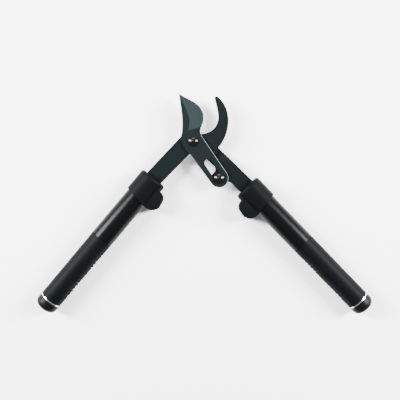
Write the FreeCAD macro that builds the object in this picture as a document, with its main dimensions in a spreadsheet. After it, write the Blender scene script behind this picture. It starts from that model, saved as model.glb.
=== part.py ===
"""Compound-action bypass loppers: a curved blade and a hooked counter-blade on two bar shanks.

The blade turns on the hook plate. Its long arm is driven by a bolt that slides in the arm's slot
and sits on the right shank, and the right shank turns on the hook plate about a second pivot.

Frame: X to the right, Y towards the jaws, Z out of the face with the bolt heads.
The origin is on the main pivot's axis, at the flat rear face of the pivot nut.
Lengths are millimetres and angles are degrees.
"""
import FreeCAD, Part
import math
import os
import re
from FreeCAD import Placement, Rotation, Vector

# Driving dimensions, each written once. Every one becomes a named cell of the sheet.
SIZES = {
    # plate stack
    "pivot_nut_height": 6.5,
    "pivot_washer_thick": 1.2,
    "hook_thick": 4.5,
    "blade_thick": 3.5,
    "shank_thick": 4.0,
    "plate_gap": 0.1,
    "run_gap": 0.05,
    "fit_gap": 0.03,
    "plate_chamfer": 0.4,
    # main pivot
    "pivot_bolt_radius": 4.0,
    "pivot_bush_radius": 5.5,
    "pivot_head_radius": 7.3,
    "pivot_head_rise": 4.2,
    "head_rim": 1.2,
    "pivot_washer_radius": 8.0,
    "pivot_nut_flats": 13.0,
    "bolt_end_recess": 0.6,
    # link pivot, where the right shank turns on the hook plate
    "link_distance": 24.3,
    "link_drop": 32.4,
    "link_rivet_radius": 4.0,
    "link_head_radius": 8.7,
    "link_head_gap": 0.2,
    "link_head_thick": 1.15,
    "link_recess_depth": 1.3,
    "link_lobe_radius": 11.4,
    "link_inset": 2.4,
    "link_tail_radius": 6.5,
    "link_tail_rise": 1.8,
    "link_washer_radius": 9.0,
    "link_washer_thick": 1.0,
    # slot bolt, which drives the blade's arm
    "arm_length": 63.0,
    "arm_drop": 55.0,
    "arm_end_radius": 12.9,
    "slot_top": 36.9,
    "slot_half_width": 5.5,
    "slot_bolt_radius": 4.2,
    "slot_thread_radius": 3.0,
    "slot_head_radius": 7.7,
    "slot_head_rise": 4.4,
    "slot_nut_flats": 10.0,
    "slot_nut_height": 5.0,
    "lug_radius": 11.0,
    "lug_fillet": 6.0,
    # blade grind
    "edge_land": 0.4,
    "grind_step": 0.12,
    "grind_hollow": 0.3,
    # shanks
    "left_shank_width": 24.4,
    "right_shank_width": 22.9,
    "shank_inset": 1.4,
    "shoulder_depth": 4.0,
    "tail_width": 20.0,
    "tail_length": 95.0,
    "joggle_start": 13.4,
    "joggle_run": 10.0,
    "joggle_skew": 61.4,
    # where each handle lies: its slope, its axis outside the main pivot, and the distance to its mouth
    "left_lean": 49.97,
    "left_offset": 10.7,
    "left_mouth": 74.6,
    "right_lean": 45.91,
    "right_offset": 11.3,
    "right_mouth": 97.4,
    # one handle, measured from the collar's mouth along the handle's axis
    "handle_length": 238.5,
    "tube_radius": 16.3,
    "tube_wall": 2.5,
    "grip_start": 111.3,
    "grip_step": 0.15,
    "grip_taper": 0.35,
    "seat_wall": 2.2,
    "ring_width": 1.5,
    "cap_length": 15.0,
    "cap_round": 8.0,
    "cap_socket": 8.0,
    "core_length": 105.0,
    "cross_pin_radius": 2.5,
    "cross_pin_place": 13.0,
    "cross_pin_pitch": 12.0,
    "cross_pin_recess": 0.6,
    # collar and bumper
    "collar_length": 33.6,
    "collar_slant": 8.1,
    "mouth_wall": 5.0,
    "mouth_gap": 0.4,
    "collar_wall": 1.4,
    "collar_shift": 0.9,
    "spine_slim": 2.2,
    "spine_shift": 5.4,
    "collar_round": 3.6,
    "collar_end_round": 0.8,
    "bumper_start": 9.4,
    "bumper_rise": 17.0,
    "bumper_half_width": 11.0,
}

# Heights above the origin and plan positions of the bolts, each a formula of the sizes.
DERIVED = {
    "hook_back": "pivot_nut_height + pivot_washer_thick",
    "hook_face": "hook_back + hook_thick",
    "blade_back": "hook_face + plate_gap",
    "blade_face": "blade_back + blade_thick",
    "head_seat": "blade_face + plate_gap",
    "eye_face": "hook_back - plate_gap",
    "eye_back": "eye_face - shank_thick",
    "lug_back": "hook_face - shank_thick",
    "recess_floor": "hook_face - link_recess_depth",
    "link_washer_back": "eye_back - plate_gap - link_washer_thick",
    "slot_nut_back": "lug_back - slot_nut_height",
    "handle_height": "hook_back + hook_thick/2",
    "link_x": "link_distance*cos(link_drop)",
    "link_y": "-link_distance*sin(link_drop)",
    "bolt_x": "arm_length*cos(arm_drop)",
    "bolt_y": "-arm_length*sin(arm_drop)",
    "seat_radius": "tube_radius - tube_wall",
    "grip_head_radius": "tube_radius - grip_step",
    "grip_end_radius": "grip_head_radius - grip_taper",
    "cap_start": "handle_length - cap_length",
    "ring_place": "cap_start - ring_width",
    "tube_end": "cap_start + cap_socket",
    "collar_radius": "tube_radius + collar_wall",
    "spine_radius": "collar_radius - spine_slim",
    "bumper_height": "tube_radius + bumper_rise",
}
LINK = ("link_x", "link_y")
SLOT_BOLT = ("bolt_x", "bolt_y")

FAR = 400.0  # longer than any plate, for cutting tools
SIDES = ("left", "right")
WORD = re.compile(r"[a-z_]+")

doc = FreeCAD.newDocument("Loppers")
sheet = doc.addObject("Spreadsheet::Sheet", "Dims")
for row, (alias, number) in enumerate(SIZES.items(), start=1):
    sheet.set(f"A{row}", alias)
    sheet.set(f"B{row}", str(number))
    sheet.setAlias(f"B{row}", alias)
derived = doc.addObject("Spreadsheet::Sheet", "Derived")


def linked(formula):
    """A formula with each name in it pointing at its sheet's cell."""

    def cell(match):
        word = match.group()
        if word in SIZES:
            return "Dims." + word
        return "Derived." + word if word in DERIVED else word

    return WORD.sub(cell, str(formula))


for row, (alias, formula) in enumerate(DERIVED.items(), start=1):
    derived.set(f"A{row}", alias)
    derived.set(f"B{row}", "=" + linked(formula).replace("Derived.", ""))
    derived.setAlias(f"B{row}", alias)
doc.recompute()
parts = {}


# ---------------------------------------------------------------- helpers
def size(alias):
    """The number in a cell of either sheet."""
    return float(sheet.get(alias) if alias in SIZES else derived.get(alias))


def bind(piece, prop, formula):
    """Tie one property to the sheets."""
    piece.setExpression(prop, linked(formula))


def solid(kind, name, place=("0", "0", "0"), **sizes):
    """A Part primitive whose sizes and place are formulas of the sheet's cells."""
    piece = doc.addObject("Part::" + kind, name)
    for prop, formula in sizes.items():
        bind(piece, prop, formula)
    for axis, formula in zip("xyz", place):
        bind(piece, "Placement.Base." + axis, formula)
    return piece


def cylinder(name, radius, low, height, plan=("0", "0")):
    return solid("Cylinder", name, (*plan, low), Radius=radius, Height=height)


def dome(name, radius, rise, low, plan=("0", "0")):
    """A spherical cap of this base radius and height, standing on low."""
    ball = f"(({radius})^2 + ({rise})^2)/(2*({rise}))"
    centre = f"{low} + ({rise}) - {ball}"
    return solid(
        "Sphere",
        name,
        (*plan, centre),
        Radius=ball,
        Angle1=f"asin(({ball} - ({rise}))/({ball}))",
    )


def fuse(name, *pieces):
    joined = doc.addObject("Part::MultiFuse", name)
    joined.Shapes = list(pieces)
    return joined


def group(name, *pieces):
    together = doc.addObject("Part::Compound", name)
    together.Links = list(pieces)
    return together


def cut(name, base, *tools):
    """The base with every tool taken out of it."""
    result = doc.addObject("Part::Cut", name)
    result.Base = base
    result.Tool = tools[0] if len(tools) == 1 else group(name + "_tools", *tools)
    return result


def common(name, base, tool):
    result = doc.addObject("Part::Common", name)
    result.Base = base
    result.Tool = tool
    return result


def extrude(name, edges, length, back="0", turn=None, low="0"):
    """A closed outline drawn as a sketch and extruded along the sketch's normal."""
    sketch = doc.addObject("Sketcher::SketchObject", name + "_outline")
    sketch.addGeometry(edges, False)
    if turn is not None:
        sketch.Placement.Rotation = turn
    bind(sketch, "Placement.Base.z", low)
    slab = doc.addObject("Part::Extrusion", name)
    slab.Base = sketch
    slab.DirMode = "Normal"
    slab.Solid = True
    bind(slab, "LengthFwd", length)
    bind(slab, "LengthRev", back)
    return slab


def soften(kind, name, base, chosen, amount):
    """Fillet or chamfer the edges of base that the function chosen picks."""
    doc.recompute()
    edges = [i for i, edge in enumerate(base.Shape.Edges, start=1) if chosen(edge)]
    softened = doc.addObject("Part::" + kind, name)
    softened.Base = base
    softened.Edges = [(i, amount, amount) for i in edges]
    return softened


def middle_of(edge):
    return edge.valueAt((edge.FirstParameter + edge.LastParameter) / 2)


def finish(label, piece, side=None):
    """Record a finished sub-part, and lay it along its handle if it belongs to one."""
    if side:
        piece.Placement = handle_place(side)
    piece.Label = label
    parts[label] = piece


def at(x, y):
    return Vector(x, y, 0)


def line(start, end):
    return Part.LineSegment(start, end)


def arc(start, via, end):
    return Part.Arc(start, via, end)


def curve(points):
    spline = Part.BSplineCurve()
    spline.interpolate([at(*p) for p in points])
    return spline


def chain(points):
    return [line(a, b) for a, b in zip(points, points[1:])]


def turned(vector, degrees):
    return Rotation(Vector(0, 0, 1), degrees).multVec(vector)


def round_corner(centre, radius, start, end):
    """The short arc about centre from start to end."""
    middle = (start - centre) + (end - centre)
    middle.normalize()
    return arc(start, centre + middle * radius, end)


def plan_point(names):
    return at(*(size(name) for name in names))


# ---------------------------------------------------------------- handle frames
def handle_axes(side):
    """Directions in plan: along the handle away from the jaws, and inwards to the other handle."""
    lean = math.radians(size(side + "_lean"))
    sign = -1 if side == "left" else 1
    along = at(sign * math.cos(lean), -math.sin(lean))
    inner = at(-sign * math.sin(lean), -math.cos(lean))
    return along, inner


def on_handle(side, distance, inwards):
    """A plan point given from the collar's mouth on the handle's axis."""
    along, inner = handle_axes(side)
    reach = size(side + "_mouth") + distance
    return along * reach + inner * (inwards - size(side + "_offset"))


def handle_place(side):
    """Puts local Z along the handle and local X inwards, from the collar's mouth."""
    along, inner = handle_axes(side)
    base = on_handle(side, 0, 0) + Vector(0, 0, size("handle_height"))
    return Placement(base, Rotation(inner, along.cross(inner), along, "ZXY"))


def shank_tail(side, upper_end, lower_end, width):
    """The shank's outline from upper_end down through the handle and back up to lower_end."""
    inset = size("shank_inset")
    outer = inset - width / 2
    inward = inset + width / 2
    slim = size("tail_width") / 2
    depth = size("shoulder_depth")
    tail = size("tail_length")
    stations = [
        (0, outer),
        (depth, outer),
        (depth, inset - slim),
        (tail, inset - slim),
        (tail, inset + slim),
        (depth, inset + slim),
        (depth, inward),
        (0, inward),
    ]
    middle = [on_handle(side, *station) for station in stations]
    return chain([upper_end, *middle, lower_end])


def cross_pin_shapes(name, radius, half_length):
    """Two cylinders across the handle, through the shank's tail, in the handle's frame."""
    pins = []
    for number in range(2):
        pin = cylinder(f"{name}_{number}", radius, "0", f"2*({half_length})")
        pin.Placement.Rotation = Rotation(Vector(1, 0, 0), -90)
        bind(pin, "Placement.Base.x", "shank_inset")
        bind(pin, "Placement.Base.y", f"-({half_length})")
        bind(pin, "Placement.Base.z", f"cross_pin_place + {number}*cross_pin_pitch")
        pins.append(pin)
    return pins


def cross_pin_holes(name):
    return cross_pin_shapes(name, "cross_pin_radius + fit_gap", "tube_radius + 2")


# ---------------------------------------------------------------- jaws
def cutting_blade():
    """The blade, its hollow grind, and the slotted arm that the slot bolt drives."""
    bolt = plan_point(SLOT_BOLT)
    down = Vector(bolt).normalize()
    end = size("arm_end_radius")
    right_foot = at(10.5, 9.1)
    left_foot = at(-4.6, -17.9)
    right_tangent = tangent_point(right_foot, bolt, end, 1)
    left_tangent = tangent_point(left_foot, bolt, end, -1)
    heel = at(9.6, 13.3)
    notch = at(-17.6, 5.6)
    edge = [(-20.0, 67.0), (-4.4, 58.3), (7.9, 49.7), (14.0, 38.5), (13.8, 27.3), (10.6, 18.0), (9.6, 13.3)]
    spine = [(-16.4, 8.6), (-15.2, 27.0), (-17.5, 49.7), (-20.0, 67.0)]
    outline = [
        curve(edge),
        line(heel, right_foot),
        line(right_foot, right_tangent),
        arc(right_tangent, bolt + down * end, left_tangent),
        line(left_tangent, left_foot),
        arc(left_foot, at(-12.9, -8.0), notch),
        line(notch, at(-16.4, 8.6)),
        curve(spine),
    ]
    slab = extrude("blade_plate", outline, "blade_thick", low="blade_back")
    face = size("blade_face")

    def on_arm(edge):
        middle = middle_of(edge)
        return abs(middle.z - face) < 1e-6 and middle.y < left_foot.y / 2

    eased = soften("Chamfer", "blade_eased", slab, on_arm, size("plate_chamfer"))
    bore = cylinder("blade_bore", "pivot_bush_radius + run_gap", "0", str(FAR))
    result = cut("blade_ground", eased, blade_grind(), bore, arm_slot())
    finish("cutting_blade", result)


def tangent_point(start, centre, radius, side):
    """Where a line from start touches the circle; side 1 is the circle's right, seen from above."""
    reach = centre - start
    swing = math.degrees(math.acos(radius / reach.Length))
    return centre + turned(reach * -1, -side * swing).normalize() * radius


def arm_slot():
    """The straight slot along the arm, as two round ends and the box between them."""
    half = "slot_half_width"
    radius = size(half)
    down = plan_point(SLOT_BOLT).normalize()
    across = turned(down, 90)
    top = down * size("slot_top")
    bottom = down * size("arm_length")
    outline = [
        line(top + across * radius, bottom + across * radius),
        arc(bottom + across * radius, bottom + down * radius, bottom - across * radius),
        line(bottom - across * radius, top - across * radius),
        arc(top - across * radius, top - down * radius, top + across * radius),
    ]
    return extrude("arm_slot", outline, str(FAR))


def blade_grind():
    """The material ground away: a hollow face from the grind line down to the cutting edge."""
    grind_line = [(-7.3, 14.7), (-5.6, 22.0), (-5.4, 29.5), (-7.2, 37.0)]
    grind_line += [(-11.0, 47.0), (-16.0, 58.0), (-20.2, 68.0)]
    beyond_edge = [(13.0, 20.6), (16.0, 25.5), (17.2, 31.0), (17.0, 39.5)]
    beyond_edge += [(11.0, 51.5), (-1.0, 60.5), (-16.5, 69.5)]
    face = size("blade_face")
    land = size("blade_back") + size("edge_land")
    wires = []
    for back, front in zip(grind_line, beyond_edge):
        high = Vector(*back, face - size("grind_step"))
        low = Vector(*front, land)
        sag = (high + low) * 0.5 - Vector(0, 0, size("grind_hollow"))
        over_low = Vector(*front, face + 2)
        over_high = Vector(*back, face + 2)
        edges = [Part.Arc(high, sag, low).toShape()]
        edges += [e.toShape() for e in chain([low, over_low, over_high, high])]
        wires.append(Part.Wire(edges))
    tool = doc.addObject("Part::Feature", "blade_grind")
    tool.Shape = Part.makeLoft(wires, True)
    return tool


def hook_and_left_shank():
    """The hooked counter-blade, the lobe round the link pivot and the left bar, in one plate."""
    link = plan_point(LINK)
    lobe = size("link_lobe_radius")
    inner = [(10.2, 10.6), (15.1, 11.3), (27.0, 16.3), (34.1, 27.3), (34.8, 38.5), (30.0, 60.9)]
    outer = [(35.2, 62.3), (41.7, 55.3), (49.3, 33.0), (45.1, 7.7), (35.3, -8.5)]
    shoulder = at(-14.5, 9.8)
    throat = at(*inner[0])
    corner = at(*outer[-1])
    ledge = at(34.0, -15.0)
    lobe_start = link + turned(at(lobe, 0), -45)
    lobe_end = link + turned(at(lobe, 0), -115)
    crook = at(-2.6, -14.8)
    outline = [
        curve(inner),
        arc(at(*inner[-1]), at(32.3, 63.3), at(*outer[0])),
        curve(outer),
        line(corner, ledge),
        line(ledge, lobe_start),
        arc(lobe_start, link + turned(at(lobe, 0), -80), lobe_end),
        line(lobe_end, crook),
        *reversed_chain(shank_tail("left", shoulder, crook, size("left_shank_width"))),
        arc(shoulder, at(-1.0, 14.8), throat),
    ]
    slab = extrude("hook_plate", outline, "hook_thick", low="hook_back")
    face = size("hook_face")

    def on_hook(edge):
        return abs(middle_of(edge).z - face) < 1e-6 and isinstance(edge.Curve, Part.BSplineCurve)

    eased = soften("Chamfer", "hook_eased", slab, on_hook, size("plate_chamfer"))
    pivot_bore = cylinder("hook_pivot_bore", "pivot_bolt_radius + fit_gap", "0", str(FAR))
    link_bore = cylinder("hook_link_bore", "link_rivet_radius + fit_gap", "0", str(FAR), LINK)
    recess = cylinder(
        "hook_link_recess",
        "link_head_radius + link_head_gap",
        "recess_floor",
        "link_recess_depth + 1",
        LINK,
    )
    pins = group("left_shank_holes", *cross_pin_holes("left_shank_hole"))
    pins.Placement = handle_place("left")
    finish("hook_and_left_shank", cut("hook_bored", eased, pivot_bore, link_bore, recess, pins))


def reversed_chain(lines):
    return [line(piece.EndPoint, piece.StartPoint) for piece in reversed(lines)]


def right_shank():
    """The right bar: an eye behind the hook plate, a joggle forward, and the slot bolt's lug."""
    link = plan_point(LINK)
    bolt = plan_point(SLOT_BOLT)
    half = size("right_shank_width") / 2
    mouth = on_handle("right", 0, size("shank_inset"))
    reach = mouth - link
    inset = size("link_inset")
    down = turned(reach, -math.degrees(math.asin(inset / reach.Length))).normalize()
    outer = turned(down, 90)
    eye = link + outer * inset
    lug = size("lug_radius")
    fillet = size("lug_fillet")
    bolt_along = (bolt - eye).dot(down)
    bolt_beyond = -(bolt - eye).dot(outer) - half
    spread = math.sqrt((lug + fillet) ** 2 - (bolt_beyond - fillet) ** 2)
    edge = eye - outer * half
    upper_foot = edge + down * (bolt_along - spread)
    lower_foot = edge + down * (bolt_along + spread)
    upper_centre = upper_foot - outer * fillet
    lower_centre = lower_foot - outer * fillet
    upper_touch = bolt + (upper_centre - bolt).normalize() * lug
    lower_touch = bolt + (lower_centre - bolt).normalize() * lug
    outline = [
        *shank_tail("right", eye + outer * half, lower_foot, 2 * half),
        round_corner(lower_centre, fillet, lower_foot, lower_touch),
        arc(lower_touch, bolt - outer * lug, upper_touch),
        round_corner(upper_centre, fillet, upper_touch, upper_foot),
        line(upper_foot, edge),
        arc(edge, eye - down * half, eye + outer * half),
    ]
    plan = extrude("right_plan", outline, "3*pivot_nut_height")
    bent = common("right_bent", plan, joggle_profile(link))
    eye_bore = cylinder("eye_bore", "link_rivet_radius + run_gap", "0", str(FAR), LINK)
    bolt_bore = cylinder("lug_bore", "slot_thread_radius + fit_gap", "0", str(FAR), SLOT_BOLT)
    pins = group("right_shank_holes", *cross_pin_holes("right_shank_hole"))
    pins.Placement = handle_place("right")
    finish("right_shank", cut("right_bored", bent, eye_bore, bolt_bore, pins))


def joggle_profile(link):
    """The bar's side view, long across the bend: low behind the hook plate, then level with it."""
    eye_back = size("eye_back")
    lug_back = size("lug_back")
    thick = size("shank_thick")
    start = size("joggle_start")
    end = start + size("joggle_run")
    shape = [(-FAR, eye_back), (start, eye_back), (end, lug_back), (FAR, lug_back)]
    top = [(along, height + thick) for along, height in reversed(shape)]
    corners = [at(*p) for p in shape + top]
    across = turned(at(0, 1), -size("joggle_skew"))
    along = turned(at(1, 0), -size("joggle_skew"))
    upright = Rotation(along, Vector(0, 0, 1), across * -1, "ZXY")
    profile = extrude("joggle", chain(corners + corners[:1]), str(FAR), str(FAR), upright)
    profile.Base.Placement.Base = link
    return profile


# ---------------------------------------------------------------- pivots
def domed_head(name, radius, rise, plan=("0", "0")):
    """A bolt head: a short rim with a spherical cap."""
    rim = cylinder(name + "_rim", radius, "head_seat", "head_rim", plan)
    cap = dome(name + "_cap", radius, f"{rise} - head_rim", "head_seat + head_rim", plan)
    return rim, cap


def pivot_hardware():
    """Bolt, bush, washer and nut of the main pivot."""
    shank = cylinder(
        "pivot_stem", "pivot_bolt_radius", "bolt_end_recess", "head_seat - bolt_end_recess"
    )
    head = domed_head("pivot_head", "pivot_head_radius", "pivot_head_rise")
    finish("pivot_bolt", fuse("pivot_bolt_body", shank, *head))

    bush = cylinder("bush_outside", "pivot_bush_radius", "hook_face", "blade_thick + 2*plate_gap")
    bush_bore = cylinder("bush_bore", "pivot_bolt_radius + fit_gap", "0", str(FAR))
    finish("pivot_bush", cut("bush_body", bush, bush_bore))

    disc = cylinder("washer_disc", "pivot_washer_radius", "pivot_nut_height", "pivot_washer_thick")
    disc_bore = cylinder("washer_bore", "pivot_bolt_radius + fit_gap", "0", str(FAR))
    finish("pivot_washer", cut("washer_body", disc, disc_bore))

    finish("pivot_nut", hex_nut("pivot", "pivot_nut_flats", "0", "pivot_nut_height", "pivot_bolt_radius"))


def hex_nut(name, flats, low, height, bolt_radius, plan=("0", "0")):
    """A hexagon nut with its corners turned down to a cone at the free end."""
    prism = solid(
        "Prism",
        name + "_nut_prism",
        (*plan, low),
        Circumradius=f"{flats}/2/cos(30)",
        Height=height,
    )
    taper = solid(
        "Cone",
        name + "_nut_taper",
        (*plan, low),
        Radius1=f"{flats}*0.48",
        Radius2=f"{flats}*0.48 + 2*({height})",
        Height=height,
    )
    bore = cylinder(name + "_nut_bore", f"{bolt_radius} + fit_gap", "0", str(FAR), plan)
    return cut(name + "_nut_body", common(name + "_nut_blank", prism, taper), bore)


def link_hardware():
    """The flush rivet of the link pivot and the washer under its formed tail."""
    head = cylinder("link_head", "link_head_radius", "recess_floor", "link_head_thick", LINK)
    stem = cylinder(
        "link_stem", "link_rivet_radius", "link_washer_back", "recess_floor - link_washer_back", LINK
    )
    tail = dome("link_tail", "link_tail_radius", "link_tail_rise", "0", LINK)
    tail.Placement.Rotation = Rotation(Vector(1, 0, 0), 180)
    ball = "((link_tail_radius^2 + link_tail_rise^2)/(2*link_tail_rise))"
    bind(tail, "Placement.Base.z", f"link_washer_back - link_tail_rise + {ball}")
    finish("link_rivet", fuse("link_rivet_body", head, stem, tail))

    disc = cylinder("link_disc", "link_washer_radius", "link_washer_back", "link_washer_thick", LINK)
    bore = cylinder("link_disc_bore", "link_rivet_radius + fit_gap", "0", str(FAR), LINK)
    finish("link_washer", cut("link_washer_body", disc, bore))


def slot_hardware():
    """The shouldered bolt that slides in the arm's slot, and its nut behind the lug."""
    shoulder = cylinder(
        "slot_shoulder", "slot_bolt_radius", "hook_face", "head_seat - hook_face", SLOT_BOLT
    )
    stem = cylinder(
        "slot_stem",
        "slot_thread_radius",
        "slot_nut_back + bolt_end_recess",
        "hook_face - slot_nut_back - bolt_end_recess",
        SLOT_BOLT,
    )
    head = domed_head("slot_head", "slot_head_radius", "slot_head_rise", SLOT_BOLT)
    finish("slot_bolt", fuse("slot_bolt_body", shoulder, stem, *head))
    nut = hex_nut(
        "slot", "slot_nut_flats", "slot_nut_back", "slot_nut_height", "slot_thread_radius", SLOT_BOLT
    )
    finish("slot_nut", nut)


# ---------------------------------------------------------------- handles
def collar_blank(side, name):
    """The collar's outside before its bore: an egg section, square at the mouth, slanted behind."""
    big = size("collar_radius")
    small = size("spine_radius")
    big_centre = at(-size("collar_shift"), 0)
    small_centre = at(size("spine_shift"), 0)
    apart = small_centre.x - big_centre.x
    touch = turned(at(1, 0), math.degrees(math.acos((big - small) / apart)))
    mirror = at(touch.x, -touch.y)
    outline = [
        arc(big_centre + touch * big, big_centre - at(big, 0), big_centre + mirror * big),
        line(big_centre + mirror * big, small_centre + mirror * small),
        arc(small_centre + mirror * small, small_centre + at(small, 0), small_centre + touch * small),
        line(small_centre + touch * small, big_centre + touch * big),
    ]
    blank = extrude(f"{side}_{name}", outline, "2*collar_length")
    slanted = solid(
        "Box",
        f"{side}_{name}_slant",
        ("-4*tube_radius", "-3*tube_radius", "0"),
        Length="10*tube_radius",
        Width="6*tube_radius",
        Height="4*collar_length",
    )
    slanted.Placement.Rotation = Rotation(Vector(0, 1, 0), -size("collar_slant"))
    drop = "tan(collar_slant)*(4*tube_radius - collar_radius - collar_shift)"
    bind(slanted, "Placement.Base.z", f"collar_length - {drop}")
    return cut(f"{side}_{name}_end", blank, slanted)


def collar(side):
    """The moulded collar that covers the end of the tube and lets the shank in."""
    blank = collar_blank(side, "collar_blank")
    mouth_round = size("collar_round")

    def at_mouth(edge):
        return all(abs(v.Point.z) < 1e-6 for v in edge.Vertexes)

    def at_end(edge):
        return min(v.Point.z for v in edge.Vertexes) > mouth_round

    eased = soften("Fillet", f"{side}_collar_eased", blank, at_mouth, mouth_round)
    eased = soften("Fillet", f"{side}_collar_smooth", eased, at_end, size("collar_end_round"))
    bore = cylinder(f"{side}_collar_bore", "tube_radius + fit_gap", "mouth_wall", str(FAR))
    thick = "hook_thick" if side == "left" else "shank_thick"
    window = tail_box(f"{side}_mouth", f"{side}_shank_width + 2*mouth_gap", f"{thick} + 2*mouth_gap", side)
    bind(window, "Height", "2*mouth_wall")
    finish(f"{side}_collar", cut(f"{side}_collar_body", eased, bore, window), side)


def tail_box(name, width, thick, side):
    """A box round the shank's tail in the handle's frame, from the mouth on."""
    off = "0" if side == "left" else "-(hook_thick - shank_thick)/2"
    place = (f"shank_inset - ({width})/2", f"{off} - ({thick})/2", "-1")
    return solid("Box", name, place, Length=width, Width=thick, Height="tail_length + 1")


def bumper(side):
    """The rubber buffer on the inner side of the collar, which meets the other one."""
    start = size("bumper_start")
    peak = size("bumper_height")
    half = size("bumper_half_width")
    base = size("spine_shift") + math.sqrt(size("spine_radius") ** 2 - half**2) - 0.5
    nose = start + 19.6
    end = start + 28.8
    points = {
        "foot": at(start, base),
        "step": at(start, peak - 12.4),
        "brow": at(start + 6.2, peak - 2.4),
        "nose": at(nose, peak),
        "chin": at(nose + 5.0, peak - 2.6),
        "heel": at(end, base),
    }
    outline = [
        line(points["foot"], points["step"]),
        arc(points["step"], at(start + 1.9, peak - 6.1), points["brow"]),
        arc(points["brow"], at(start + 13.0, peak - 0.7), points["nose"]),
        line(points["nose"], points["chin"]),
        arc(points["chin"], at(end - 0.9, peak - 7.5), points["heel"]),
        line(points["heel"], points["foot"]),
    ]
    sideways = Rotation(Vector(0, 0, 1), Vector(1, 0, 0), Vector(0, 1, 0), "ZXY")
    block = extrude(f"{side}_bumper_block", outline, "bumper_half_width", "bumper_half_width", sideways)
    blank = collar_blank(side, "bumper_bed")
    finish(f"{side}_bumper", cut(f"{side}_bumper_body", block, blank), side)


def tube(side):
    """The handle tube: full size where it shows, stepped down where the grip sits."""
    shown = cylinder(f"{side}_tube_front", "tube_radius", "mouth_wall", "grip_start - mouth_wall")
    seat = cylinder(f"{side}_tube_seat", "seat_radius", "grip_start - 1", "tube_end - grip_start + 1")
    wide = cylinder(
        f"{side}_tube_wide_bore", "tube_radius - tube_wall", "0", "grip_start - 2*tube_wall"
    )
    bore = cylinder(f"{side}_tube_bore", "seat_radius - seat_wall", "0", str(FAR))
    outside = fuse(f"{side}_tube_outside", shown, seat)
    holes = cross_pin_holes(f"{side}_tube_hole")
    finish(f"{side}_tube", cut(f"{side}_tube_body", outside, wide, bore, *holes), side)


def shank_core(side):
    """The plug that holds the shank's tail in the middle of the tube."""
    plug = cylinder(
        f"{side}_core_plug", "tube_radius - tube_wall - fit_gap", "mouth_wall", "core_length - mouth_wall"
    )
    thick = "hook_thick" if side == "left" else "shank_thick"
    slot = tail_box(f"{side}_core_slot", "tail_width + 2*fit_gap", f"{thick} + 2*fit_gap", side)
    holes = cross_pin_holes(f"{side}_core_hole")
    finish(f"{side}_shank_core", cut(f"{side}_core_body", plug, slot, *holes), side)


def cross_pins(side):
    """Two pins under the collar, through the tube, the core and the shank."""
    pins = cross_pin_shapes(f"{side}_pin", "cross_pin_radius", "tube_radius - cross_pin_recess")
    finish(f"{side}_cross_pins", group(f"{side}_pin_pair", *pins), side)


def grip(side):
    """The rubber grip, slightly tapered, level with the tube in front of it."""
    sleeve = solid(
        "Cone",
        f"{side}_grip_sleeve",
        ("0", "0", "grip_start"),
        Radius1="grip_head_radius",
        Radius2="grip_end_radius",
        Height="ring_place - grip_start",
    )
    bore = cylinder(f"{side}_grip_bore", "seat_radius + fit_gap", "0", str(FAR))
    finish(f"{side}_grip", cut(f"{side}_grip_body", sleeve, bore), side)


def trim_ring(side):
    """The thin bright ring between the grip and the end cap."""
    band = cylinder(f"{side}_ring_band", "grip_end_radius", "ring_place", "ring_width")
    bore = cylinder(f"{side}_ring_bore", "seat_radius + fit_gap", "0", str(FAR))
    finish(f"{side}_trim_ring", cut(f"{side}_ring_body", band, bore), side)


def end_cap(side):
    """The rounded cap that is pressed over the end of the tube."""
    block = cylinder(f"{side}_cap_block", "grip_end_radius", "cap_start", "handle_length - cap_start")
    length = size("handle_length")

    def at_end(edge):
        return all(abs(v.Point.z - length) < 1e-6 for v in edge.Vertexes)

    domed = soften("Fillet", f"{side}_cap_domed", block, at_end, size("cap_round"))
    socket = cylinder(f"{side}_cap_socket", "seat_radius + fit_gap", "0", "tube_end + fit_gap")
    finish(f"{side}_end_cap", cut(f"{side}_cap_body", domed, socket), side)


def check_and_export():
    """Every object has to be sound before any file is written."""
    doc.recompute()
    for piece in doc.Objects:
        if {"Invalid", "Error"} & set(piece.State):
            raise RuntimeError(f"{piece.Name} is {piece.State}")
    for label, piece in parts.items():
        shape = piece.Shape
        if shape.isNull() or not shape.isValid() or not shape.Solids:
            raise RuntimeError(f"{label} has no valid shape")
        print(f"{label}: {len(shape.Solids)} solid, {shape.Volume / 1000:.2f} cm3")
    os.makedirs("parts", exist_ok=True)
    for label, piece in parts.items():
        piece.Shape.exportStep(os.path.join("parts", label + ".step"))


cutting_blade()
hook_and_left_shank()
right_shank()
pivot_hardware()
link_hardware()
slot_hardware()
for handle_side in SIDES:
    for make in (collar, bumper, tube, shank_core, cross_pins, grip, trim_ring, end_cap):
        make(handle_side)
check_and_export()
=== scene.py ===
# %% [markdown]
# # Bypass loppers
# A pair of compact loppers lying open on a pale table: a coated blade and hook, two bar shanks, and
# tubular handles with collars, shock bumpers, rubber grips and rounded caps.
# The frame comes from the CAD model, and this lesson gives each part its finish and its fine detail.

import math

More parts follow.
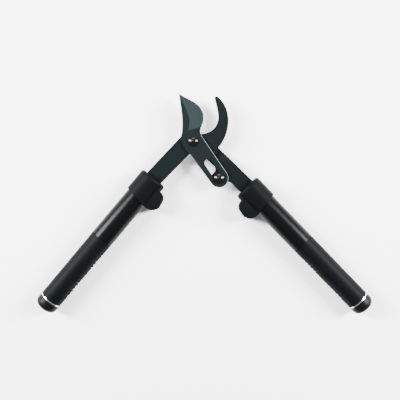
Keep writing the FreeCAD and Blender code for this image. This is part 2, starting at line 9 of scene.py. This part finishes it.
import bmesh
import bpy
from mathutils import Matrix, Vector


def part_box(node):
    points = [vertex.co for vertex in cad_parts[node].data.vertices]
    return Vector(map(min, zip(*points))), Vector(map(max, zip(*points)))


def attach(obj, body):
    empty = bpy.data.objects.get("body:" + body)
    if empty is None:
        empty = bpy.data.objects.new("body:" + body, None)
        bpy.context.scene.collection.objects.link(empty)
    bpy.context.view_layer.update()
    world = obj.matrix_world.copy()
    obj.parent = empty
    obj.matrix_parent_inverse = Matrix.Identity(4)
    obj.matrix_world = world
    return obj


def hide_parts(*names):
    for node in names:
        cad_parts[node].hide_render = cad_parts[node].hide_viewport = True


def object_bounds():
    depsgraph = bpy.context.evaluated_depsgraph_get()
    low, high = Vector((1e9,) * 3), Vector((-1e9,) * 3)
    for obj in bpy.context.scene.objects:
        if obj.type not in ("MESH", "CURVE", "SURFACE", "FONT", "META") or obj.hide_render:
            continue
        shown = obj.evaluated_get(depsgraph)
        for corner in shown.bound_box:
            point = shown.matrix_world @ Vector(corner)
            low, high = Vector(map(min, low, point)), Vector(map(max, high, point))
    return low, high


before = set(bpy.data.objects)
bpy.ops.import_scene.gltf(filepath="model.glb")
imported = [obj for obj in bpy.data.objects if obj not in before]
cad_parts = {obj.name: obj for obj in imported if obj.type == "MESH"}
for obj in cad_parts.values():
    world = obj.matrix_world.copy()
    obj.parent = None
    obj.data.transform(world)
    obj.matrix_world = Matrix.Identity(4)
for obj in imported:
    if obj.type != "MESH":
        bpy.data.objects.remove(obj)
cad_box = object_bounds()
MM = 0.001
SIDES = ("left", "right")
print("CAD nodes:", len(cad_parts), "box:", cad_box)

# %% [markdown]
# ## Where each handle lies
# Detail on a handle is easiest to think of along its axis. The axis could be typed in as an angle, but
# reading it from the frame keeps it right if the handles ever move. The core inside the tube and the bright
# ring near its end are both true cylinders, so the middles of their boxes lie on the axis.

# %% Handle directions
def middle(node):
    """The middle of a node's box."""
    low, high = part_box(node)
    return (Vector(low) + Vector(high)) / 2


def handle_frame(side):
    """A point on the handle's axis, the way away from the jaws, and the way to the other handle."""
    start = middle(f"{side}_shank_core")
    along = (middle(f"{side}_trim_ring") - start).normalized()
    inner = Vector((along.y, -along.x, 0))
    return start, along, inner if inner.y < 0 else -inner


def span(node, start, along):
    """How far a node reaches along an axis, from start, in metres."""
    reach = [(vertex.co - start).dot(along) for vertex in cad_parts[node].data.vertices]
    return min(reach), max(reach)


for side in SIDES:
    start, along, inner = handle_frame(side)
    print(side, "axis", [round(c, 3) for c in along], "inner", [round(c, 3) for c in inner])

# %% [markdown]
# ## A fine surface that several finishes share
# Powder coat, moulded plastic and rubber all differ in how coarse their grain is. One node group makes the
# grain as a bump, and each finish says only its size and depth.

# %% Grain group
GRAIN_DETAIL = 3.0


def grain_group():
    """A bump made of fine noise on the piece's own coordinates."""
    group = bpy.data.node_groups.new("fine_grain", "ShaderNodeTree")
    group.interface.new_socket("Scale", in_out="INPUT", socket_type="NodeSocketFloat")
    group.interface.new_socket("Depth", in_out="INPUT", socket_type="NodeSocketFloat")
    group.interface.new_socket("Normal", in_out="OUTPUT", socket_type="NodeSocketVector")
    nodes, links = group.nodes, group.links
    entry = nodes.new("NodeGroupInput")
    leave = nodes.new("NodeGroupOutput")
    place = nodes.new("ShaderNodeTexCoord")
    noise = nodes.new("ShaderNodeTexNoise")
    noise.inputs["Detail"].default_value = GRAIN_DETAIL
    bump = nodes.new("ShaderNodeBump")
    bump.inputs["Strength"].default_value = 1.0
    links.new(place.outputs["Object"], noise.inputs["Vector"])
    links.new(entry.outputs["Scale"], noise.inputs["Scale"])
    links.new(noise.outputs["Fac"], bump.inputs["Height"])
    links.new(entry.outputs["Depth"], bump.inputs["Distance"])
    links.new(bump.outputs["Normal"], leave.inputs["Normal"])
    return group


GRAIN = grain_group()
print("group:", GRAIN.name)

# %% [markdown]
# ## One maker for all finishes
# A finish is a Principled surface with one colour. The roughness is broken up by slow noise, because a real
# coat is never equally smooth all over.

# %% Finish maker
PATCHES_PER_METRE = 60.0
COAT_ROUGHNESS = 0.08


def finish(name, colour, rough, metal=0.0, coat=0.0, shine=0.3, grain=None, rough_spread=0.06):
    """A material with uneven roughness, and a grain given as its size and its depth in metres."""
    material = bpy.data.materials.new(name)
    material.use_nodes = True
    nodes, links = material.node_tree.nodes, material.node_tree.links
    shader = nodes["Principled BSDF"]
    shader.inputs["Base Color"].default_value = (*colour, 1.0)
    shader.inputs["Metallic"].default_value = metal
    shader.inputs["Coat Weight"].default_value = coat
    shader.inputs["Coat Roughness"].default_value = COAT_ROUGHNESS
    shader.inputs["Specular IOR Level"].default_value = shine
    place = nodes.new("ShaderNodeTexCoord")
    patches = nodes.new("ShaderNodeTexNoise")
    patches.inputs["Scale"].default_value = PATCHES_PER_METRE
    spread = nodes.new("ShaderNodeMapRange")
    spread.inputs["To Min"].default_value = rough - rough_spread
    spread.inputs["To Max"].default_value = rough + rough_spread
    links.new(place.outputs["Object"], patches.inputs["Vector"])
    links.new(patches.outputs["Fac"], spread.inputs["Value"])
    links.new(spread.outputs["Result"], shader.inputs["Roughness"])
    if grain:
        relief = nodes.new("ShaderNodeGroup")
        relief.node_tree = GRAIN
        relief.inputs["Scale"].default_value = grain[0]
        relief.inputs["Depth"].default_value = grain[1]
        links.new(relief.outputs["Normal"], shader.inputs["Normal"])
    return material


print("finish maker:", finish.__doc__)

# %% [markdown]
# ## The finishes
# Black garden tools are never one black: the coated plates are a grey with a little teal in it, the tubes
# are a glossy enamel, and the grips are a soft rubber that scatters light.

# %% Plain finishes
MOULDED_BLACK = (0.0015, 0.002, 0.0022)
POWDER_GRAIN = (1500.0, 0.01 * MM)
COLLAR_GRAIN = (2600.0, 0.02 * MM)
CAP_GRAIN = (2600.0, 0.03 * MM)
BUMPER_GRAIN = (1800.0, 0.03 * MM)
GRIP_GRAIN = (3000.0, 0.02 * MM)

tube_enamel = finish("tube_enamel", (0.0016, 0.0018, 0.0020), 0.27, shine=0.05, rough_spread=0.03)
bolt_enamel = finish("bolt_enamel", (0.002, 0.002, 0.0022), 0.18, coat=0.15, shine=0.2, rough_spread=0.03)
collar_plastic = finish("collar_plastic", MOULDED_BLACK, 0.50, shine=0.03, grain=COLLAR_GRAIN)
bumper_rubber = finish("bumper_rubber", MOULDED_BLACK, 0.60, shine=0.02, grain=BUMPER_GRAIN)
grip_rubber = finish("grip_rubber", (0.0015, 0.002, 0.0025), 0.52, shine=0.03, grain=GRIP_GRAIN)
cap_plastic = finish("cap_plastic", MOULDED_BLACK, 0.42, shine=0.06, grain=CAP_GRAIN)
ring_chrome = finish("ring_chrome", (0.72, 0.73, 0.75), 0.16, metal=1.0, rough_spread=0.04)
bare_steel = finish("bare_steel", (0.50, 0.51, 0.52), 0.32, metal=1.0)
shank_coat = finish("shank_coat", (0.0018, 0.003, 0.0033), 0.38, shine=0.05, grain=POWDER_GRAIN)
print("finishes:", len(bpy.data.materials))

# %% [markdown]
# ## The blade's two faces
# The blade has a coated flat and a ground bevel that slopes to the cutting edge. The bevel is told apart by
# its slope: its surface normal leans a few degrees from straight up. Edges that lean by half a right angle
# are the small chamfers, and they get a much lighter colour: a painted highlight where the edge catches the
# light.

# %% Blade and plate coats
# The chamfer slope range marks where the painted highlight colour goes.
CHAMFER_HIGHLIGHT_SLOPE = (0.45, 0.90)
BEVEL_SLOPE = (0.90, 0.9985)


def sloped_mask(nodes, links, low, high):
    """One where the surface leans so that its upward part lies between low and high."""
    place = nodes.new("ShaderNodeTexCoord")
    parts = nodes.new("ShaderNodeSeparateXYZ")
    links.new(place.outputs["Normal"], parts.inputs["Vector"])
    above = nodes.new("ShaderNodeMath")
    above.operation = "GREATER_THAN"
    above.inputs[1].default_value = low
    below = nodes.new("ShaderNodeMath")
    below.operation = "LESS_THAN"
    below.inputs[1].default_value = high
    both = nodes.new("ShaderNodeMath")
    both.operation = "MULTIPLY"
    links.new(parts.outputs["Z"], above.inputs[0])
    links.new(parts.outputs["Z"], below.inputs[0])
    links.new(above.outputs["Value"], both.inputs[0])
    links.new(below.outputs["Value"], both.inputs[1])
    return both.outputs["Value"]


def plate_finish(name, flat, chamfer_highlight, ground=None):
    """A coated plate: one colour on the flat, a lighter painted highlight colour on the chamfers, and a
    lighter colour on the ground bevel.
    """
    material = finish(name, flat, 0.36, shine=0.05, grain=POWDER_GRAIN)
    nodes, links = material.node_tree.nodes, material.node_tree.links
    shader = nodes["Principled BSDF"]
    colour = None
    # The chamfer colour is a painted highlight; the ground colour is the bevel's own colour.
    for highlight_and_bevel_colour, (low, high) in ((chamfer_highlight, CHAMFER_HIGHLIGHT_SLOPE), (ground, BEVEL_SLOPE)):
        if highlight_and_bevel_colour is None:
            continue
        mix = nodes.new("ShaderNodeMix")
        mix.data_type = "RGBA"
        links.new(sloped_mask(nodes, links, low, high), mix.inputs["Factor"])
        if colour is None:
            mix.inputs["A"].default_value = (*flat, 1.0)
        else:
            links.new(colour, mix.inputs["A"])
        mix.inputs["B"].default_value = (*highlight_and_bevel_colour, 1.0)
        colour = mix.outputs["Result"]
    links.new(colour, shader.inputs["Base Color"])
    return material


GROUND_COAT = (0.009, 0.0135, 0.0145)
# The third colour of each plate coat is a painted highlight on its chamfers.
blade_coat = plate_finish("blade_coat", (0.0028, 0.0045, 0.0048), (0.16, 0.18, 0.185), GROUND_COAT)
plate_coat = plate_finish("plate_coat", (0.002, 0.0034, 0.0037), (0.03, 0.036, 0.038))
print("plate coats:", blade_coat.name, plate_coat.name)

# %% [markdown]
# ## Give every part its finish
# The parts from CAD keep their meshes. Only the material in each slot changes, and the slots are matched
# to the pieces by name.

# %% Assign finishes
FINISH_OF = {
    "cutting_blade": blade_coat,
    "hook_and_left_shank": plate_coat,
    "right_shank": shank_coat,
    "link_rivet": plate_coat,
    "pivot_bolt": bolt_enamel,
    "slot_bolt": bolt_enamel,
    "pivot_nut": bolt_enamel,
    "slot_nut": bolt_enamel,
}
FINISH_OF.update({name: bare_steel for name in ("pivot_bush", "pivot_washer", "link_washer")})
HANDLE_FINISH = {
    "collar": collar_plastic,
    "bumper": bumper_rubber,
    "tube": tube_enamel,
    "shank_core": collar_plastic,
    "cross_pins": bare_steel,
    "grip": grip_rubber,
    "trim_ring": ring_chrome,
    "end_cap": cap_plastic,
}
for side in SIDES:
    for piece, material in HANDLE_FINISH.items():
        FINISH_OF[f"{side}_{piece}"] = material
for name, material in FINISH_OF.items():
    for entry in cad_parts[name].material_slots:
        entry.material = material
print("finished", len(FINISH_OF), "of", len(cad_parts), "nodes")

# %% [markdown]
# ## The rubber grips
# A real grip is moulded over a tube, with shallow finger scallops on the side that faces the other handle,
# and its rims are eased a little. A few corners of its section are joined and spun about the handle's axis,
# and then the skin is pressed in where the scallops are. The long side is divided finely first, so that the
# scallops have enough skin to press. Pressing keeps one closed surface, where cutting might leave gaps.

# %% Make the grips
SCALLOP_PITCH = 5.6 * MM
SCALLOP_DEPTH = 0.7 * MM
SCALLOP_GROUPS = ((0.12, 0.44), (0.56, 0.88))
SCALLOP_FADE = 0.04
FACING_FROM = 0.25
FACING_FADE = 0.35
GRIP_TAPER = 0.35 * MM
RIM_ROUND = 0.5 * MM
RING_STEP = 0.55 * MM
SPIN_STEPS = 96
SHARP_CORNER = math.radians(38)


def make_piece(name, work, material):
    """Turn a bmesh into an object at the origin, smooth apart from its sharp corners."""
    mesh = bpy.data.meshes.new(name)
    bmesh.ops.recalc_face_normals(work, faces=work.faces)
    work.to_mesh(mesh)
    work.free()
    mesh.shade_smooth()
    mesh.set_sharp_from_angle(angle=SHARP_CORNER)
    mesh.materials.append(material)
    piece = bpy.data.objects.new(name, mesh)
    bpy.context.collection.objects.link(piece)
    return piece


def grip_section(work, low, high, inside, head, tail, place):
    """The closed section of a grip, both outer rims eased, with its long side finely divided."""
    steps = int((high - low) / RING_STEP)
    step = (high - low) / steps
    lean = (tail - head) / steps
    corners = (
        (low, inside),
        (low, head - RIM_ROUND),
        (low + step, head + lean),
        (high - step, tail - lean),
        (high, tail - RIM_ROUND),
        (high, inside),
    )
    ring = [work.verts.new(place(distance, radius)) for distance, radius in corners]
    sides = [work.edges.new(pair) for pair in zip(ring, ring[1:] + ring[:1])]
    bmesh.ops.subdivide_edges(work, edges=[sides[2]], cuts=steps - 3)


def scallop_press(share, distance, facing):
    """How far the skin is pressed in at this share of the length, facing the other handle by facing."""
    if facing < FACING_FROM:
        return 0.0
    for first, last in SCALLOP_GROUPS:
        if first < share < last:
            edge = min(share - first, last - share) / SCALLOP_FADE
            wave = 0.5 - 0.5 * math.cos(2 * math.pi * distance / SCALLOP_PITCH)
            turn = (facing - FACING_FROM) / FACING_FADE
            return SCALLOP_DEPTH * wave * min(edge, 1.0) * min(turn, 1.0)
    return 0.0


def make_grip(side):
    """Spin the grip's section round the handle and press the scallops into it."""
    start, along, inner = handle_frame(side)
    low, high = span(f"{side}_grip", start, along)
    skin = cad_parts[f"{side}_grip"].data.vertices
    radii = [((v.co - start) - along * (v.co - start).dot(along)).length for v in skin]
    work = bmesh.new()
    head = max(radii)
    grip_section(
        work, low, high, min(radii), head, head - GRIP_TAPER, lambda d, r: start + along * d + inner * r
    )
    bmesh.ops.spin(
        work,
        geom=work.verts[:] + work.edges[:],
        cent=start,
        axis=along,
        angle=2 * math.pi,
        steps=SPIN_STEPS,
        use_merge=True,
    )
    for vertex in work.verts:
        offset = vertex.co - start
        distance = offset.dot(along)
        outward = offset - along * distance
        if outward.length < min(radii) + RIM_ROUND:
            continue
        outward.normalize()
        share = (distance - low) / (high - low)
        vertex.co -= outward * scallop_press(share, distance - low, outward.dot(inner))
    piece = make_piece(f"{side}_grip_skin", work, grip_rubber)
    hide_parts(f"{side}_grip")
    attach(piece, "hook_half" if side == "left" else "lever_half")
    print(piece.name, len(piece.data.polygons), "faces")


for side in SIDES:
    make_grip(side)

# %% [markdown]
# ## The shock bumpers
# Moulded rubber has no sharp corners, and its face has faint ribs. The part from CAD is copied, its flat
# faces are joined again, and its corners are bevelled. The ribs are too shallow to model, so they are a bump
# that follows the handle's axis.

# %% Make the bumpers
BUMPER_ROUND = 1.3 * MM
RIB_PITCH = 2.2 * MM
RIB_DEPTH = 0.12 * MM
MERGE_GAP = 0.004 * MM
FLAT_ANGLE = math.radians(0.5)
CORNER_ANGLE = math.radians(32)


def ribbed_rubber(side):
    """Bumper rubber with fine ribs across the handle's axis."""
    material = bumper_rubber.copy()
    material.name = f"{side}_ribbed_rubber"
    nodes, links = material.node_tree.nodes, material.node_tree.links
    along = handle_frame(side)[1]
    place = nodes.new("ShaderNodeTexCoord")
    run = nodes.new("ShaderNodeVectorMath")
    run.operation = "DOT_PRODUCT"
    run.inputs[1].default_value = along * (2 * math.pi / RIB_PITCH)
    wave = nodes.new("ShaderNodeMath")
    wave.operation = "SINE"
    bump = nodes.new("ShaderNodeBump")
    bump.inputs["Distance"].default_value = RIB_DEPTH
    links.new(place.outputs["Object"], run.inputs[0])
    links.new(run.outputs["Value"], wave.inputs[0])
    links.new(wave.outputs["Value"], bump.inputs["Height"])
    shader = nodes["Principled BSDF"]
    grain = shader.inputs["Normal"].links[0].from_socket
    links.new(grain, bump.inputs["Normal"])
    links.new(bump.outputs["Normal"], shader.inputs["Normal"])
    return material


def soft_copy(node, name, material, amount):
    """A copy of a CAD node with its flat faces joined and its corners rounded."""
    work = bmesh.new()
    work.from_mesh(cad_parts[node].data)
    bmesh.ops.remove_doubles(work, verts=work.verts, dist=MERGE_GAP)
    bmesh.ops.dissolve_limit(work, angle_limit=FLAT_ANGLE, verts=work.verts, edges=work.edges)
    corners = [e for e in work.edges if e.is_manifold and e.calc_face_angle() > CORNER_ANGLE]
    bmesh.ops.bevel(
        work,
        geom=corners,
        offset=amount,
        offset_type="OFFSET",
        segments=3,
        profile=0.5,
        affect="EDGES",
        clamp_overlap=True,
        material=-1,
    )
    piece = make_piece(name, work, material)
    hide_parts(node)
    print(piece.name, "rounded", len(corners), "edges")
    return piece


for side in SIDES:
    bumper = soft_copy(f"{side}_bumper", f"{side}_bumper_skin", ribbed_rubber(side), BUMPER_ROUND)
    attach(bumper, "hook_half" if side == "left" else "lever_half")

# %% [markdown]
# ## Floor
# A plain pale table, much larger than the tool, under its lowest point. A single flat plane is enough,
# because only its top is seen. It isn't part of the object.

# %% Floor
FLOOR_GAP = 0.2 * MM
FLOOR_SIZE = 14.0
floor_height = cad_box[0][2] - FLOOR_GAP
bpy.ops.mesh.primitive_plane_add(size=FLOOR_SIZE, location=(0, 0, floor_height))
table = bpy.context.object
table.name = "table_top"
table.data.materials.append(finish("pale_table", (0.90, 0.90, 0.90), 0.75, rough_spread=0.02))
print("floor at", round(floor_height / MM, 2), "mm")

# %% [markdown]
# ## Light
# Soft boxes on both sides draw one long stripe on each glossy tube and a pair of bright spots on each
# domed bolt. Area lights are chosen because a glossy tube mirrors a lamp's shape, and a rectangle gives a
# clean stripe. An even white sky fills the shadows.

# %% Light
TARGET = Vector((0.0095, -0.0819, 0.0))
SKY_STRENGTH = 0.40


def soft_box(name, place, width, height, power):
    """A rectangular area light that faces the tool."""
    lamp = bpy.data.lights.new(name, "AREA")
    lamp.shape = "RECTANGLE"
    lamp.size = width
    lamp.size_y = height
    lamp.energy = power
    holder = bpy.data.objects.new(name, lamp)
    holder.location = place
    holder.rotation_euler = (TARGET - holder.location).to_track_quat("-Z", "Y").to_euler()
    bpy.context.collection.objects.link(holder)


soft_box("left_box", Vector((-1.5, 0.45, 1.15)), 0.5, 1.2, 235.0)
soft_box("right_box", Vector((1.55, 0.35, 1.15)), 0.45, 1.1, 215.0)
soft_box("top_box", Vector((0.0, 1.5, 1.2)), 1.4, 0.4, 26.0)
soft_box("over_box", Vector((-0.12, 0.30, 1.50)), 0.45, 0.20, 5.0)
sky = bpy.data.worlds.new("studio")
sky.use_nodes = True
sky.node_tree.nodes["Background"].inputs["Color"].default_value = (1.0, 1.0, 1.0, 1.0)
sky.node_tree.nodes["Background"].inputs["Strength"].default_value = SKY_STRENGTH
bpy.context.scene.world = sky
print("lights:", len(bpy.data.lights))

# %% [markdown]
# ## Camera
# The tool is seen squarely from above, so the camera looks straight down from a working distance that
# keeps the handles nearly free of perspective.

# %% Camera
CAMERA_HEIGHT = 0.79
lens = bpy.data.cameras.new("camera")
lens.lens = 50.0
lens.sensor_width = 36.0
camera = bpy.data.objects.new("camera", lens)
camera.location = (TARGET.x, TARGET.y, CAMERA_HEIGHT)
bpy.context.collection.objects.link(camera)
bpy.context.scene.camera = camera
print("camera height", camera.location.z)

# %% [markdown]
# ## Finish
